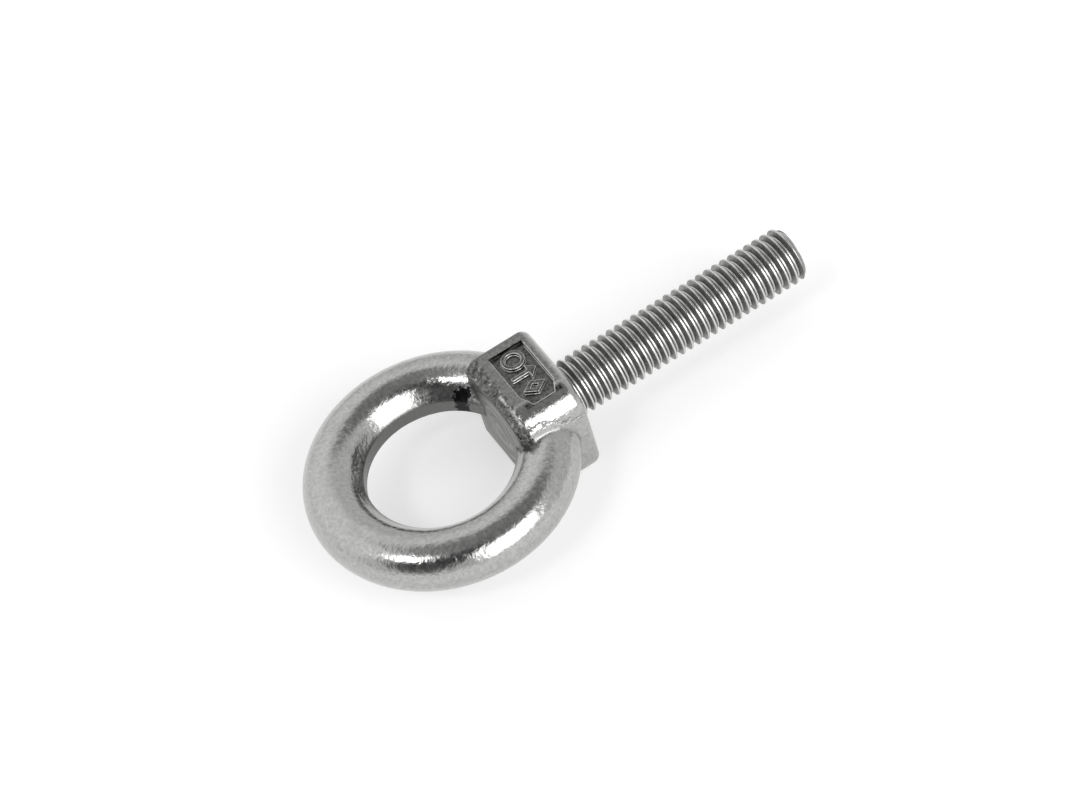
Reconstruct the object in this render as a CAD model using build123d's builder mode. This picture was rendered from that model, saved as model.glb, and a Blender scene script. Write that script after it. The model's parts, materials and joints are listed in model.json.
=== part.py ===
from build123d import *
import math
import os

os.makedirs("parts", exist_ok=True)

# Lifting eye bolt, M8 x 1.25, millimetres.
# +X runs along the bolt axis towards the thread tip, +Z is square to the eye,
# and the origin is the centre of the seating face.

# Thread
thread_size = 8.0           # nominal thread diameter
thread_pitch = 1.25
thread_phase = 1.11         # X of a groove centre at the +Z side
stud_allowance = 0.146      # stud thread diameters are smaller than basic by this
tap_allowance = 0.07        # tapped thread diameters are larger than basic by this
crest_truncation = 0.047    # rolled crests stop this much short, on the radius
stud_projection = 35.0      # seating face to thread tip
tip_chamfer = 0.75
flank_slope = math.tan(math.radians(30))
tapped_depth = 0.54127      # thread depths in pitches
stud_depth = 0.61343

# Eye ring
eye_radius = 9.85           # clear opening
tube_half_width = 3.88      # in the plane of the ring
tube_half_height = 3.79     # along Z
band_stand = 0.27           # trimmed band stands this far in from the tube
band_half_height = 1.0
bevel_width = 1.26          # dressed bevel either side of the band
bevel_rise = 1.5

# Neck block
neck_height = 8.6           # seating face to the round of the opening
chord_rise = 0.9            # how far the flat inner face stands into the opening
block_width = 14.6
block_height = 13.9
block_edge_radius = 1.2
dressed_edge_radius = 4.3   # the one long edge that is ground rounder, -Y and +Z
seat_edge_radius = 1.3
chord_edge_length = 1.4     # along the bolt axis
chord_edge_drop = 0.8       # across it

# Raised mark in a sunk panel on the top of the block
panel_length = 9.8
panel_width = 4.9
panel_depth = 0.6
panel_corner = 0.9
panel_x = -4.05
panel_y = 0.5
mark_height = 0.45
mark_stroke = 0.5
hoop_radius = 1.55          # round mark, outside
hoop_y = 2.9
arrow_length = 3.6
arrow_head = 2.4
arrow_y = 0.1
diamond_width = 3.2
diamond_height = 2.2
diamond_y = -2.5

# Plug weld and the two mouths of the tapped hole
weld_radius = 5.2
weld_depth = 1.1
mouth_clearance = 0.35      # seat countersink outside the tapped thread
cutter_margin = 0.04        # of a pitch, past the thread crest

# Sizes that follow
block_length = neck_height + chord_rise
eye_x = -(neck_height + eye_radius)
stud_inner_x = weld_depth - block_length
panel_floor_z = block_height / 2 - panel_depth


def thread_radii(allowance, depth, truncation=0.0):
    """Crest, pitch and root radius of a 60 degree thread; depths are in pitches."""
    basic = (thread_size + allowance) / 2
    return basic - truncation, basic - 0.32476 * thread_pitch, basic - depth * thread_pitch


def groove_half_width(radius, pitch_radius):
    return thread_pitch / 4 + (radius - pitch_radius) * flank_slope


def helical_groove(radii, start_x, turns):
    """Solid swept along the thread groove, from start_x for a number of turns."""
    crest, mid, root = radii
    outer = crest + cutter_margin * thread_pitch
    with BuildPart() as groove:
        with BuildLine() as path:
            Helix(
                pitch=thread_pitch,
                height=turns * thread_pitch,
                radius=mid,
                center=(start_x, 0, 0),
                direction=(1, 0, 0),
            )
        with BuildSketch(Plane(origin=(start_x, 0, 0), x_dir=(1, 0, 0), z_dir=(0, -1, 0))):
            with BuildLine():
                half_root = groove_half_width(root, mid)
                half_outer = groove_half_width(outer, mid)
                Polyline(
                    (-half_root, root),
                    (half_root, root),
                    (half_outer, outer),
                    (-half_outer, outer),
                    close=True,
                )
            make_face()
        sweep(path=path.line, is_frenet=True)
    return groove.part


def thread_turn(radii):
    """One pitch of threaded rod, a groove centred on each end plane at the +Z side."""
    groove = helical_groove(radii, -thread_pitch, 4)
    with BuildPart() as turn:
        with BuildSketch(Plane.YZ):
            Circle(radii[0])
        extrude(amount=thread_pitch)
        add(groove, mode=Mode.SUBTRACT)
    return turn.part


def threaded_rod(radii, start_x, end_x):
    """Whole turns of thread that cover start_x to end_x."""
    first = math.floor((start_x - thread_phase) / thread_pitch)
    last = math.ceil((end_x - thread_phase) / thread_pitch)
    turn = thread_turn(radii)
    with BuildPart() as rod:
        with Locations(*[(thread_phase + n * thread_pitch, 0, 0) for n in range(first, last)]):
            add(turn)
    return rod.part


def neck_block():
    """Block between the ring and the seating face, edges rounded."""
    with BuildPart() as block:
        with BuildSketch(Plane.YZ.offset(-block_length)):
            Rectangle(block_width, block_height)
        extrude(amount=block_length)
        long_edges = block.edges().filter_by(Axis.X).sort_by(lambda e: e.center().Z - e.center().Y)
        dressed_edge = long_edges[-1]
        fillet(long_edges[:-1], block_edge_radius)
        fillet(dressed_edge, dressed_edge_radius)
        chord_face = block.faces().sort_by(Axis.X)[0]
        chamfer(
            chord_face.edges(),
            length=chord_edge_drop,
            length2=chord_edge_length,
            reference=chord_face,
        )
        fillet(block.faces().sort_by(Axis.X)[-1].edges(), seat_edge_radius)
    return block.part


def ring():
    """Eye ring with a trimmed flat band and two bevels round the opening."""
    centre_x = eye_radius + band_stand + tube_half_width
    bevel_x = eye_radius + bevel_width
    bevel_z = band_half_height + bevel_rise
    with BuildPart() as loop:
        with BuildSketch(Plane(origin=(eye_x, 0, 0), x_dir=(1, 0, 0), z_dir=(0, -1, 0))):
            with Locations((centre_x, 0)):
                Ellipse(tube_half_width, tube_half_height)
            with BuildLine():
                Polyline(
                    (eye_radius, -band_half_height),
                    (eye_radius, band_half_height),
                    (bevel_x, bevel_z),
                    (bevel_x, -bevel_z),
                    close=True,
                )
            make_face()
        revolve(axis=Axis((eye_x, 0, 0), (0, 0, 1)))
    return loop.part


def panel_outline():
    """Panel with square corners at the far end and clipped ones at the near end."""
    half_x = panel_width / 2
    half_y = panel_length / 2
    clip = 2 * panel_corner
    Polyline(
        (-half_x, half_y),
        (half_x, half_y),
        (half_x, clip - half_y),
        (half_x - panel_corner, -half_y),
        (panel_corner - half_x, -half_y),
        (-half_x, clip - half_y),
        close=True,
    )


def panel_plane(height):
    return Plane(origin=(panel_x, panel_y, height), x_dir=(1, 0, 0), z_dir=(0, 0, 1))


def mark_arrow():
    """Load arrow that points along the bolt axis."""
    half = arrow_length / 2
    neck_x = half - arrow_head / 2
    low = arrow_y - mark_stroke / 2
    high = arrow_y + mark_stroke / 2
    Polyline(
        (-half, low),
        (neck_x, low),
        (neck_x, arrow_y - arrow_head / 2),
        (half, arrow_y),
        (neck_x, arrow_y + arrow_head / 2),
        (neck_x, high),
        (-half, high),
        close=True,
    )


def mark_diamond(inset):
    """Diamond outline, moved in by inset along its diagonals."""
    half_x = diamond_width / 2 - inset
    half_y = (diamond_width / 2 - inset) * diamond_height / diamond_width
    Polyline(
        (-half_x, diamond_y),
        (0, diamond_y - half_y),
        (half_x, diamond_y),
        (0, diamond_y + half_y),
        close=True,
    )


def bolt_axis_plane():
    """Plane through the bolt axis: local x along the bolt, local y is the radius."""
    return Plane(origin=(0, 0, 0), x_dir=(1, 0, 0), z_dir=(0, -1, 0))


tap_radii = thread_radii(tap_allowance, tapped_depth)
stud_radii = thread_radii(-stud_allowance, stud_depth, crest_truncation)
tap = threaded_rod(tap_radii, -block_length - thread_pitch, thread_pitch)
rod = threaded_rod(stud_radii, stud_inner_x, stud_projection)
block_solid = neck_block()
ring_solid = ring()

with BuildPart() as eye_body:
    add(block_solid)
    add(ring_solid)
    with BuildSketch(panel_plane(panel_floor_z)):
        with BuildLine():
            panel_outline()
        make_face()
    extrude(amount=2 * panel_depth, mode=Mode.SUBTRACT)
    with BuildSketch(panel_plane(panel_floor_z - mark_height)):
        with BuildLine():
            mark_arrow()
        make_face()
        with BuildLine():
            mark_diamond(0)
        make_face()
        with BuildLine():
            mark_diamond(2 * mark_stroke)
        make_face(mode=Mode.SUBTRACT)
        with Locations((0, hoop_y)):
            Circle(hoop_radius)
            Circle(hoop_radius - mark_stroke, mode=Mode.SUBTRACT)
    extrude(amount=2 * mark_height)
    add(tap, mode=Mode.SUBTRACT)
    with BuildSketch(bolt_axis_plane()):
        with BuildLine():
            mouth = tap_radii[0] + mouth_clearance
            Polyline((0, 0), (0, mouth), (-mouth, 0), close=True)
        make_face()
        with BuildLine():
            Polyline(
                (-block_length, 0),
                (-block_length, weld_radius),
                (weld_radius - block_length, 0),
                close=True,
            )
        make_face()
    revolve(axis=Axis.X, mode=Mode.SUBTRACT)
eye_body.part.label = "eye_body"
export_step(eye_body.part, "parts/eye_body.step")

with BuildPart() as threaded_stud:
    add(rod)
    with BuildSketch(bolt_axis_plane()):
        with BuildLine():
            end_radius = thread_size / 2 - tip_chamfer
            Polyline(
                (stud_inner_x, 0),
                (stud_inner_x, end_radius),
                (stud_inner_x + 2 * tip_chamfer, end_radius + 2 * tip_chamfer),
                (stud_projection - 2 * tip_chamfer, end_radius + 2 * tip_chamfer),
                (stud_projection, end_radius),
                (stud_projection, 0),
                close=True,
            )
        make_face()
    revolve(axis=Axis.X, mode=Mode.INTERSECT)
threaded_stud.part.label = "threaded_stud"
export_step(threaded_stud.part, "parts/threaded_stud.step")

with BuildPart() as lock_weld:
    with BuildSketch(bolt_axis_plane()):
        with BuildLine():
            Polyline(
                (-block_length, 0),
                (-block_length, weld_radius),
                (stud_inner_x, weld_radius - weld_depth),
                (stud_inner_x, 0),
                close=True,
            )
        make_face()
    revolve(axis=Axis.X)
lock_weld.part.label = "lock_weld"
export_step(lock_weld.part, "parts/lock_weld.step")
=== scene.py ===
import json
import math
import bmesh
import bpy
from mathutils import Matrix, Vector


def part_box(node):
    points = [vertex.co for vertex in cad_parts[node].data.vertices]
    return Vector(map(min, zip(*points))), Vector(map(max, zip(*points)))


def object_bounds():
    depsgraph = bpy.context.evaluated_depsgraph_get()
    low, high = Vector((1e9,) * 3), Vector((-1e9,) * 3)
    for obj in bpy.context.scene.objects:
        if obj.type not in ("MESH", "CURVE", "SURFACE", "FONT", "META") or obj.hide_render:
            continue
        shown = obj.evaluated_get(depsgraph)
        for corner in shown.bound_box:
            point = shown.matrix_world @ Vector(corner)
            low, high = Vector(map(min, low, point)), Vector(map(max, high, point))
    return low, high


# Lifting eye bolt, polished cast stainless steel with a rolled thread.
# Metres, in the part's own frame: +X along the bolt, +Z square to the eye.
# The three solids are the CAD's own: only their materials are made here.

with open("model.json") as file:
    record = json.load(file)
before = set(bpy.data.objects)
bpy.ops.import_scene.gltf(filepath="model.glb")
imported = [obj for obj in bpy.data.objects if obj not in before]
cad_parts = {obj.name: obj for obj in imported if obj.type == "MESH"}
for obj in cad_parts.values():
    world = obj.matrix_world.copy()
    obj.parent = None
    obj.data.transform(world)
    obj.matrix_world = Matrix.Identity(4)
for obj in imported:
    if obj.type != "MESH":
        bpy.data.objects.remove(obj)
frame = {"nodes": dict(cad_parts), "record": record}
cad_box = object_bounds()
MM = 0.001

# Places that the finishes need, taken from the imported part, in millimetres
body_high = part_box("eye_body")[1] / MM
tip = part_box("threaded_stud")[1].x / MM
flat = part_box("lock_weld")[0].x / MM    # flat inner face, towards the opening
top = body_high.z                       # top of the block
mounts = {mount["name"]: mount for mount in frame["record"]["mounts"]}
eye_x = mounts["eye"]["pos_m"][0] / MM
eye_radius = mounts["eye"]["dims"]["r_mm"]
crest_radius = mounts["thread"]["dims"]["r_mm"]
root_radius = crest_radius - 0.72


def linear(hex_colour):
    """sRGB hex such as "b0b0ae" to linear RGBA."""
    values = [int(hex_colour[i:i + 2], 16) / 255 for i in (0, 2, 4)]
    curve = [v / 12.92 if v <= 0.04045 else ((v + 0.055) / 1.055) ** 2.4 for v in values]
    return tuple(curve) + (1.0,)


def per_mm(size):
    """Texture scale that gives features of this many millimetres."""
    return 1000.0 / size


def add(tree, kind, inputs=None, **settings):
    """Adds a node with its settings and its input values or links."""
    new = tree.nodes.new(kind)
    for name, value in settings.items():
        setattr(new, name, value)
    for key, value in (inputs or {}).items():
        if isinstance(value, bpy.types.NodeSocket):
            tree.links.new(value, new.inputs[key])
        else:
            new.inputs[key].default_value = value
    return new


def new_material(name):
    material = bpy.data.materials.new(name)
    material.use_nodes = True
    material.node_tree.nodes.clear()
    return material, material.node_tree


def region(tree, place, low, high, soft):
    """1 inside the box from low to high, in millimetres, and 0 outside, fading over soft."""
    middle = (Vector(low) + Vector(high)) / 2 * MM
    half = (Vector(high) - Vector(low)) / 2 * MM
    away = add(tree, "ShaderNodeVectorMath", {0: place, 1: middle}, operation="SUBTRACT")
    span = add(tree, "ShaderNodeVectorMath", {0: away.outputs["Vector"]}, operation="ABSOLUTE")
    past = add(tree, "ShaderNodeVectorMath", {0: span.outputs["Vector"], 1: half},
               operation="SUBTRACT")
    axes = add(tree, "ShaderNodeSeparateXYZ", {"Vector": past.outputs["Vector"]})
    side = add(tree, "ShaderNodeMath", {0: axes.outputs["X"], 1: axes.outputs["Y"]},
               operation="MAXIMUM")
    most = add(tree, "ShaderNodeMath", {0: side.outputs["Value"], 1: axes.outputs["Z"]},
               operation="MAXIMUM")
    return add(tree, "ShaderNodeMapRange", {
        "Value": most.outputs["Value"],
        "From Min": soft * MM,
        "From Max": -soft * MM,
    }).outputs["Result"]


def grinder_rings(tree, place):
    """Height and colour of the broken rings about the bolt axis that a hand grinder leaves,
    about 0.45 mm apart."""
    across = add(tree, "ShaderNodeVectorMath", {0: place, 1: (0.0, 1.0, 1.0)},
                 operation="MULTIPLY").outputs["Vector"]
    radius = add(tree, "ShaderNodeVectorMath", {0: across}, operation="LENGTH").outputs["Value"]
    round_it = add(tree, "ShaderNodeVectorMath", {0: across},
                   operation="NORMALIZE").outputs["Vector"]
    wobble = add(tree, "ShaderNodeTexNoise", {
        "Vector": place, "Scale": per_mm(3.0), "Detail": 2.0,
    }).outputs["Fac"]
    strayed = add(tree, "ShaderNodeMath", {0: wobble, 1: 0.8 * MM, 2: radius},
                  operation="MULTIPLY_ADD").outputs["Value"]
    steps = add(tree, "ShaderNodeMath", {0: strayed, 1: per_mm(0.45)},
                operation="MULTIPLY").outputs["Value"]
    rings = add(tree, "ShaderNodeCombineXYZ", {"X": steps}).outputs["Vector"]
    at = add(tree, "ShaderNodeVectorMath", {0: round_it, 1: (0.6, 0.6, 0.6), 2: rings},
             operation="MULTIPLY_ADD").outputs["Vector"]
    height = add(tree, "ShaderNodeTexNoise", {
        "Vector": at, "Scale": 1.0, "Detail": 2.0,
    }).outputs["Fac"]
    tone = add(tree, "ShaderNodeMapRange", {
        "Value": height, "From Min": 0.36, "From Max": 0.64,
    }).outputs["Result"]
    colour = add(tree, "ShaderNodeMixRGB", {
        "Fac": tone, "Color1": linear("5e5e5d"), "Color2": linear("929290"),
    }).outputs["Color"]
    return height, colour


def cast_stainless():
    """Investment-cast stainless, tumbled and polished: bright and smooth with a fine broken grain,
    dark oxide left in the sunk panel, and a rough dressed face and edge towards the opening."""
    material, tree = new_material("polished_cast_stainless")
    place = add(tree, "ShaderNodeTexCoord").outputs["Object"]

    # Grain of the tumbled skin, drawn coarser than the real 0.1 mm so that it shows,
    # over the soft dimples that break up the edges of every reflection
    dimple = add(tree, "ShaderNodeTexNoise", {
        "Vector": place, "Scale": per_mm(1.1), "Detail": 2.0, "Roughness": 0.7,
    }).outputs["Fac"]
    grain = add(tree, "ShaderNodeTexNoise", {
        "Vector": place, "Scale": per_mm(0.5), "Detail": 3.0, "Roughness": 0.7,
    }).outputs["Fac"]
    speck = add(tree, "ShaderNodeMapRange", {
        "Value": grain, "From Min": 0.32, "From Max": 0.68,
    }).outputs["Result"]
    wave = add(tree, "ShaderNodeTexNoise", {
        "Vector": place, "Scale": per_mm(4.0), "Detail": 3.0,
    }).outputs["Fac"]
    cloud = add(tree, "ShaderNodeTexNoise", {
        "Vector": place, "Scale": per_mm(2.2), "Detail": 5.0, "Roughness": 0.6,
    }).outputs["Fac"]

    # Where each finish and painted mark lies; the torn ones stray up to about 1 mm from their
    # straight sides
    wander = add(tree, "ShaderNodeVectorMath", {
        0: add(tree, "ShaderNodeTexNoise", {
            "Vector": place, "Scale": per_mm(0.9), "Detail": 4.0,
        }).outputs["Color"],
        1: (0.5, 0.5, 0.5),
    }, operation="SUBTRACT").outputs["Vector"]
    drift = add(tree, "ShaderNodeVectorMath", {0: wander, "Scale": 2.2 * MM},
                operation="SCALE").outputs["Vector"]
    strayed = add(tree, "ShaderNodeVectorMath", {0: place, 1: drift}).outputs["Vector"]
    panel = region(tree, place, (-6.7, -4.6, top - 1.45), (-1.4, 5.6, top - 0.1), 0.03)
    ground = region(tree, place, (flat - 0.2, -6.4, -6.2), (flat + 0.1, 6.4, 6.2), 0.04)
    edge = region(tree, strayed, (flat - 0.1, -7.3, -7.2), (flat + 1.6, 7.3, 7.2), 0.1)
    # Painted dark reflection: a near-black patch on the ring's inner side beside the block, on the
    # +Y side
    dark_reflection_patch = region(tree, strayed, (flat - 2.6, 6.0, -1.4), (flat - 0.2, 7.8, 2.7), 0.1)
    # Painted shade: the top of the block is painted darker than the rest, over a rougher finish
    rough_top_and_shade = region(tree, place, (-8.0, -3.2, top - 0.45), (-1.0, 7.4, top + 0.15), 0.3)
    # Painted highlight: a bright line along the top edge next to the face towards the opening
    ridge_highlight = region(tree, place, (flat + 1.0, -5.8, top - 1.15), (flat + 1.25, -0.6, top + 0.25),
                   0.14)

    # Worn edges show where the softened normal turns away from the flat one, and in the panel they
    # are painted near-white, partly wear and partly painted highlight;
    # the relief of the panel and the flush weld keep theirs nearly sharp
    relief = region(tree, place, (-6.9, -4.8, top - 1.45), (-1.2, 5.8, top + 0.55), 0.02)
    flush = region(tree, place, (flat - 0.2, -5.9, -5.7), (flat + 0.1, 5.9, 5.7), 0.02)
    sharp = add(tree, "ShaderNodeMath", {0: relief, 1: flush}, operation="MAXIMUM").outputs["Value"]
    blunt = add(tree, "ShaderNodeMapRange", {
        "Value": sharp, "To Min": 0.6 * MM, "To Max": 0.22 * MM,
    }).outputs["Result"]
    soft_normal = add(tree, "ShaderNodeBevel", {"Radius": blunt}, samples=6).outputs["Normal"]
    flat_normal = add(tree, "ShaderNodeNewGeometry").outputs["Normal"]
    turn = add(tree, "ShaderNodeVectorMath", {0: soft_normal, 1: flat_normal},
               operation="DOT_PRODUCT").outputs["Value"]
    edge_wear_and_highlight = add(tree, "ShaderNodeMapRange", {
        "Value": turn, "From Min": 0.99, "From Max": 0.85,
    }).outputs["Result"]
    panel_wear_and_highlight = region(tree, place, (-6.9, -4.8, top - 1.45), (-1.2, 4.9, top + 0.55), 0.1)
    panel_wear_and_highlight = add(tree, "ShaderNodeMath", {0: edge_wear_and_highlight, 1: panel_wear_and_highlight},
                 operation="MULTIPLY").outputs["Value"]
    # Painted near-white: the worn panel edges, partly wear and partly painted highlight, and the
    # painted highlight along the ridge
    ridge_highlight = add(tree, "ShaderNodeMath", {0: ridge_highlight, 1: speck},
                operation="MULTIPLY").outputs["Value"]
    wear_and_highlight = add(tree, "ShaderNodeMath", {0: panel_wear_and_highlight, 1: ridge_highlight},
                operation="MAXIMUM").outputs["Value"]

    # Torn line where the -Y side was dressed, 2.7 mm up and sloping down towards the seat
    axes = add(tree, "ShaderNodeSeparateXYZ", {"Vector": strayed})
    slant = add(tree, "ShaderNodeMath", {0: axes.outputs["X"], 1: 0.4, 2: axes.outputs["Z"]},
                operation="MULTIPLY_ADD").outputs["Value"]
    off_line = add(tree, "ShaderNodeMath", {0: slant, 1: 2.7 * MM},
                   operation="SUBTRACT").outputs["Value"]
    off_line = add(tree, "ShaderNodeMath", {0: off_line}, operation="ABSOLUTE").outputs["Value"]
    line = add(tree, "ShaderNodeMapRange", {
        "Value": off_line, "From Min": 0.3 * MM, "From Max": 0.05 * MM,
    }).outputs["Result"]
    side = region(tree, place, (-8.0, -7.6, 2.0), (-0.6, -5.2, 6.0), 0.4)
    crease = add(tree, "ShaderNodeMath", {0: line, 1: side}, operation="MULTIPLY").outputs["Value"]
    scar = add(tree, "ShaderNodeMath", {0: crease, 1: speck}, operation="MULTIPLY").outputs["Value"]

    # Trimmed band round the opening
    from_eye = add(tree, "ShaderNodeVectorMath", {0: place, 1: (eye_x * MM, 0.0, 0.0)},
                   operation="SUBTRACT").outputs["Vector"]
    level = add(tree, "ShaderNodeVectorMath", {0: from_eye, 1: (1.0, 1.0, 0.0)},
                operation="MULTIPLY").outputs["Vector"]
    out = add(tree, "ShaderNodeVectorMath", {0: level}, operation="LENGTH").outputs["Value"]
    band = add(tree, "ShaderNodeMapRange", {
        "Value": out,
        "From Min": (eye_radius + 0.45) * MM,
        "From Max": (eye_radius + 0.03) * MM,
    }).outputs["Result"]

    # A few pits, 5.5 mm apart
    pit_at = add(tree, "ShaderNodeTexVoronoi", {
        "Vector": place, "Scale": per_mm(5.5),
    }).outputs["Distance"]
    pit = add(tree, "ShaderNodeMapRange", {
        "Value": pit_at, "From Min": 0.045, "From Max": 0.025,
    }).outputs["Result"]

    # Painted shade: darker wherever a corner shelters the surface, from the occlusion within 1.2 mm
    shelter = add(tree, "ShaderNodeAmbientOcclusion", {"Distance": 1.2 * MM},
                  samples=8, only_local=True).outputs["AO"]
    corner_shade = add(tree, "ShaderNodeMapRange", {
        "Value": shelter, "From Min": 0.25, "From Max": 0.8, "To Min": 0.75, "To Max": 0.0,
    }).outputs["Result"]

    # Colour: each finish is broken up by the grain, then laid over the ones before it; the painted
    # shade, painted dark reflection and painted highlights are laid over them too
    ring_height, ring_colour = grinder_rings(tree, place)
    skin = add(tree, "ShaderNodeMixRGB", {
        "Fac": cloud, "Color1": linear("b0b0af"), "Color2": linear("c4c4c2"),
    }).outputs["Color"]
    bright, rough_edge, oxide, top_shade_colour = (
        add(tree, "ShaderNodeMixRGB", {
            "Fac": speck, "Color1": linear(dark), "Color2": light,
        }).outputs["Color"]
        for dark, light in (
            ("a2a2a1", skin),
            ("2e2e2d", linear("8c8c8a")),
            ("383837", linear("7c7c7a")),
            # painted shade for the top of the block
            ("444443", linear("7c7c7b")),
        )
    )
    colour = bright
    for mask, over in (
        (band, linear("747473")),
        (pit, linear("3a3a39")),
        (rough_top_and_shade, top_shade_colour),
        (edge, rough_edge),
        (ground, ring_colour),
        (panel, oxide),
        (dark_reflection_patch, linear("2a2a2a")),
        (corner_shade, linear("2e2e2d")),
        (wear_and_highlight, linear("f4f4f2")),
        (scar, linear("7a7a79")),
    ):
        colour = add(tree, "ShaderNodeMixRGB", {
            "Fac": mask, "Color1": colour, "Color2": over,
        }).outputs["Color"]

    # Roughness: 0.1 to 0.24 with the grain, and 0.16 more on every finish that isn't polished
    rough = add(tree, "ShaderNodeMapRange", {
        "Value": grain, "From Min": 0.3, "From Max": 0.7, "To Min": 0.1, "To Max": 0.24,
    }).outputs["Result"]
    duller = edge
    for mask in (band, ground, panel, rough_top_and_shade):
        duller = add(tree, "ShaderNodeMath", {0: duller, 1: mask},
                     operation="MAXIMUM").outputs["Value"]
    rough = add(tree, "ShaderNodeMath", {0: duller, 1: 0.16, 2: rough},
                operation="MULTIPLY_ADD").outputs["Value"]

    # Relief, from the widest to the finest, in millimetres
    normal = soft_normal
    for height, strength, depth in (
        (wave, 1.0, 0.09),
        (dimple, 1.0, 0.045),
        (grain, 1.0, 0.025),
        (grain, edge, 0.3),
        (ring_height, ground, 0.14),
        (scar, 1.0, -0.12),
    ):
        normal = add(tree, "ShaderNodeBump", {
            "Height": height, "Strength": strength, "Distance": depth * MM, "Normal": normal,
        }).outputs["Normal"]
    shader = add(tree, "ShaderNodeBsdfPrincipled", {
        "Base Color": colour, "Metallic": 1.0, "Roughness": rough, "Normal": normal,
    })
    add(tree, "ShaderNodeOutputMaterial", {"Surface": shader.outputs["BSDF"]})
    return material


def rolled_thread():
    """Rolled stainless thread: smooth crests painted bright as highlights, over darker flanks
    painted darker still as shade near the roots.
    """
    material, tree = new_material("rolled_stainless_thread")
    place = add(tree, "ShaderNodeTexCoord").outputs["Object"]
    across = add(tree, "ShaderNodeVectorMath", {0: place, 1: (0.0, 1.0, 1.0)},
                 operation="MULTIPLY").outputs["Vector"]
    radius = add(tree, "ShaderNodeVectorMath", {0: across}, operation="LENGTH").outputs["Value"]
    along = add(tree, "ShaderNodeSeparateXYZ", {"Vector": place}).outputs["X"]

    # Crests (painted highlight), the lower half of the flanks (painted shade), the very roots, and
    # the end face
    crest_with_highlight, root_shade, root, end = (
        add(tree, "ShaderNodeMapRange", {
            "Value": value, "From Min": start * MM, "From Max": stop * MM,
        }).outputs["Result"]
        for value, start, stop in (
            (radius, crest_radius - 0.07, crest_radius - 0.005),
            (radius, root_radius + 0.14, root_radius + 0.01),
            (radius, root_radius + 0.04, root_radius + 0.01),
            (along, tip - 0.05, tip - 0.02),
        )
    )

    # Rolling marks, drawn coarser than the real 0.05 mm so that they show
    grain = add(tree, "ShaderNodeTexNoise", {
        "Vector": place, "Scale": per_mm(0.5), "Detail": 4.0, "Roughness": 0.7,
    }).outputs["Fac"]
    cloud = add(tree, "ShaderNodeTexNoise", {
        "Vector": place, "Scale": per_mm(0.6), "Detail": 3.0,
    }).outputs["Fac"]
    cloud = add(tree, "ShaderNodeMapRange", {
        "Value": cloud, "From Min": 0.35, "From Max": 0.65,
    }).outputs["Result"]
    tool_rings = add(tree, "ShaderNodeTexNoise", {
        "W": radius, "Scale": per_mm(0.3), "Detail": 2.0,
    }, noise_dimensions="1D").outputs["Fac"]
    ring_tone = add(tree, "ShaderNodeMapRange", {
        "Value": tool_rings, "From Min": 0.35, "From Max": 0.65,
    }).outputs["Result"]

    # Colour
    turned_end = add(tree, "ShaderNodeMixRGB", {
        "Fac": ring_tone, "Color1": linear("7a7a79"), "Color2": linear("aaaaa8"),
    }).outputs["Color"]
    colour = add(tree, "ShaderNodeMixRGB", {
        "Fac": cloud, "Color1": linear("7c7c7b"), "Color2": linear("9c9c9a"),
    }).outputs["Color"]
    # Crests painted bright as highlight, the lower flanks painted dark as shade
    for mask, over in (
        (crest_with_highlight, linear("d0d0ce")),
        (root_shade, linear("4c4c4b")),
        (root, linear("c8c8c6")),
        (end, turned_end),
    ):
        colour = add(tree, "ShaderNodeMixRGB", {
            "Fac": mask, "Color1": colour, "Color2": over,
        }).outputs["Color"]

    # Roughness: 0.2 to 0.32 on the crests, and 0.14 more off them
    rough = add(tree, "ShaderNodeMapRange", {
        "Value": grain, "From Min": 0.3, "From Max": 0.7, "To Min": 0.2, "To Max": 0.32,
    }).outputs["Result"]
    duller = add(tree, "ShaderNodeMath", {0: 1.0, 1: crest_with_highlight}, operation="SUBTRACT").outputs["Value"]
    rough = add(tree, "ShaderNodeMath", {0: duller, 1: 0.14, 2: rough},
                operation="MULTIPLY_ADD").outputs["Value"]

    # Relief
    normal = add(tree, "ShaderNodeBevel", {"Radius": 0.1 * MM}, samples=6).outputs["Normal"]
    for height, strength, depth in ((grain, 1.0, 0.035), (tool_rings, end, 0.05)):
        normal = add(tree, "ShaderNodeBump", {
            "Height": height, "Strength": strength, "Distance": depth * MM, "Normal": normal,
        }).outputs["Normal"]
    shader = add(tree, "ShaderNodeBsdfPrincipled", {
        "Base Color": colour, "Metallic": 1.0, "Roughness": rough, "Normal": normal,
    })
    add(tree, "ShaderNodeOutputMaterial", {"Surface": shader.outputs["BSDF"]})
    return material


def ground_weld():
    """Plug weld ground flush: grey, with the same rough rings as the face around it."""
    material, tree = new_material("ground_stainless_weld")
    place = add(tree, "ShaderNodeTexCoord").outputs["Object"]
    ring_height, ring_colour = grinder_rings(tree, place)
    grain = add(tree, "ShaderNodeTexNoise", {
        "Vector": place, "Scale": per_mm(0.4), "Detail": 5.0, "Roughness": 0.65,
    }).outputs["Fac"]
    rough = add(tree, "ShaderNodeMapRange", {
        "Value": grain, "From Min": 0.3, "From Max": 0.7, "To Min": 0.3, "To Max": 0.46,
    }).outputs["Result"]
    fine = add(tree, "ShaderNodeBump", {
        "Height": grain, "Strength": 1.0, "Distance": 0.03 * MM,
    }).outputs["Normal"]
    ringed = add(tree, "ShaderNodeBump", {
        "Height": ring_height, "Strength": 1.0, "Distance": 0.14 * MM, "Normal": fine,
    }).outputs["Normal"]
    shader = add(tree, "ShaderNodeBsdfPrincipled", {
        "Base Color": ring_colour, "Metallic": 1.0, "Roughness": rough, "Normal": ringed,
    })
    add(tree, "ShaderNodeOutputMaterial", {"Surface": shader.outputs["BSDF"]})
    return material


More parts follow.
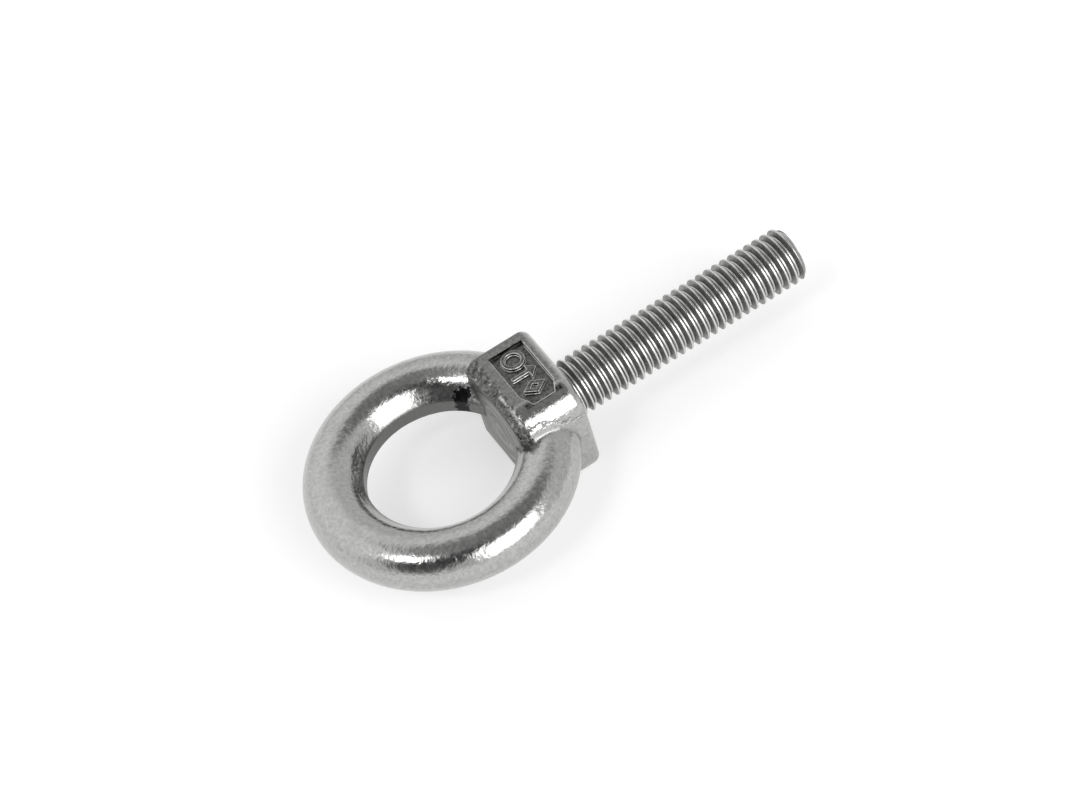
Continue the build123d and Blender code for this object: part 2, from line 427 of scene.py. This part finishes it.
def direction(azimuth, elevation):
    """Unit vector; azimuth 0 looks towards +Y and 90 towards +X."""
    a = math.radians(azimuth)
    e = math.radians(elevation)
    return Vector((math.sin(a) * math.cos(e), math.cos(a) * math.cos(e), math.sin(e)))


def softbox(name, azimuth, elevation, width, height, radiance):
    """Area light 1 m from the part and aimed at it, as bright all over as radiance."""
    light = bpy.data.lights.new(name, "AREA")
    light.shape = "RECTANGLE"
    light.size = width
    light.size_y = height
    light.energy = radiance * math.pi * width * height
    lamp = bpy.data.objects.new(name, light)
    bpy.context.scene.collection.objects.link(lamp)
    aim = direction(azimuth, elevation)
    lamp.location = aim
    lamp.rotation_euler = aim.to_track_quat("Z", "Y").to_euler()


def studio_world():
    """Grey studio: dark overhead, pale walls brightest at one corner, two dark gaps."""
    world = bpy.data.worlds.new("studio")
    world.use_nodes = True
    tree = world.node_tree
    tree.nodes.clear()
    way = add(tree, "ShaderNodeTexCoord").outputs["Generated"]
    height = add(tree, "ShaderNodeVectorMath", {0: way, 1: direction(125, 81.5)},
                 operation="DOT_PRODUCT").outputs["Value"]
    level = add(tree, "ShaderNodeMapRange", {
        "Value": height, "From Min": 0.79, "From Max": 0.91, "To Min": 0.8, "To Max": 0.28,
    }, interpolation_type="SMOOTHSTEP").outputs["Result"]

    # Azimuth, elevation, inner and outer angle in degrees, and brightness against the wall
    for azimuth, elevation, inner, outer, bright in (
        (-127, 33, 14, 32, 0.14),
        (-160, 50, 8, 25, 0.15),
        (-45, 45, 25, 60, 1.4),
    ):
        near = add(tree, "ShaderNodeVectorMath", {0: way, 1: direction(azimuth, elevation)},
                   operation="DOT_PRODUCT").outputs["Value"]
        patch = add(tree, "ShaderNodeMapRange", {
            "Value": near,
            "From Min": math.cos(math.radians(outer)),
            "From Max": math.cos(math.radians(inner)),
            "To Min": 1.0,
            "To Max": bright,
        }, interpolation_type="SMOOTHSTEP").outputs["Result"]
        level = add(tree, "ShaderNodeMath", {0: level, 1: patch},
                    operation="MULTIPLY").outputs["Value"]
    sky = add(tree, "ShaderNodeBackground", {"Color": (1.0, 1.0, 1.0, 1.0), "Strength": level})
    add(tree, "ShaderNodeOutputWorld", {"Surface": sky.outputs["Background"]})
    bpy.context.scene.world = world


def pale_floor():
    """Matt white table under the part, 6 m across, faintly lit of itself so that it stays pale."""
    shape = bmesh.new()
    bmesh.ops.create_grid(shape, x_segments=1, y_segments=1, size=3.0)
    bmesh.ops.translate(shape, verts=shape.verts, vec=(0.0, 0.0, cad_box[0][2]))
    mesh = bpy.data.meshes.new("floor")
    shape.to_mesh(mesh)
    shape.free()
    floor = bpy.data.objects.new("floor", mesh)
    bpy.context.scene.collection.objects.link(floor)
    material, tree = new_material("white_table")
    shader = add(tree, "ShaderNodeBsdfPrincipled", {
        "Base Color": linear("cccccc"),
        "Roughness": 0.9,
        "Emission Color": (1.0, 1.0, 1.0, 1.0),
        "Emission Strength": 0.45,
    })
    add(tree, "ShaderNodeOutputMaterial", {"Surface": shader.outputs["BSDF"]})
    mesh.materials.append(material)


def main_camera():
    """Camera above and in front, turned a little so that the bolt runs up to the right."""
    lens = bpy.data.cameras.new("main")
    lens.sensor_fit = "HORIZONTAL"
    lens.sensor_width = 36.0
    lens.lens = 102.8
    lens.clip_start = 0.01
    lens.clip_end = 20.0
    camera = bpy.data.objects.new("main", lens)
    bpy.context.scene.collection.objects.link(camera)
    right = Vector((0.83558, -0.50996, -0.20430))
    up = Vector((0.51661, 0.60293, 0.60794))
    back = Vector((-0.18685, -0.61353, 0.76725))
    turn = Matrix((right, up, back)).transposed()
    camera.matrix_world = Matrix.Translation((-0.076286, -0.238827, 0.299088)) @ turn.to_4x4()
    bpy.context.scene.camera = camera


for node_name, material in (
    ("eye_body", cast_stainless()),
    ("threaded_stud", rolled_thread()),
    ("lock_weld", ground_weld()),
):
    for material_slot in frame["nodes"][node_name].material_slots:
        material_slot.material = material

softbox("key", 165, 30, 0.8, 0.76, 3.4)
softbox("kicker", -105, 54, 0.26, 0.21, 9.0)
studio_world()
pale_floor()
main_camera()
bpy.context.scene.view_settings.view_transform = "Standard"
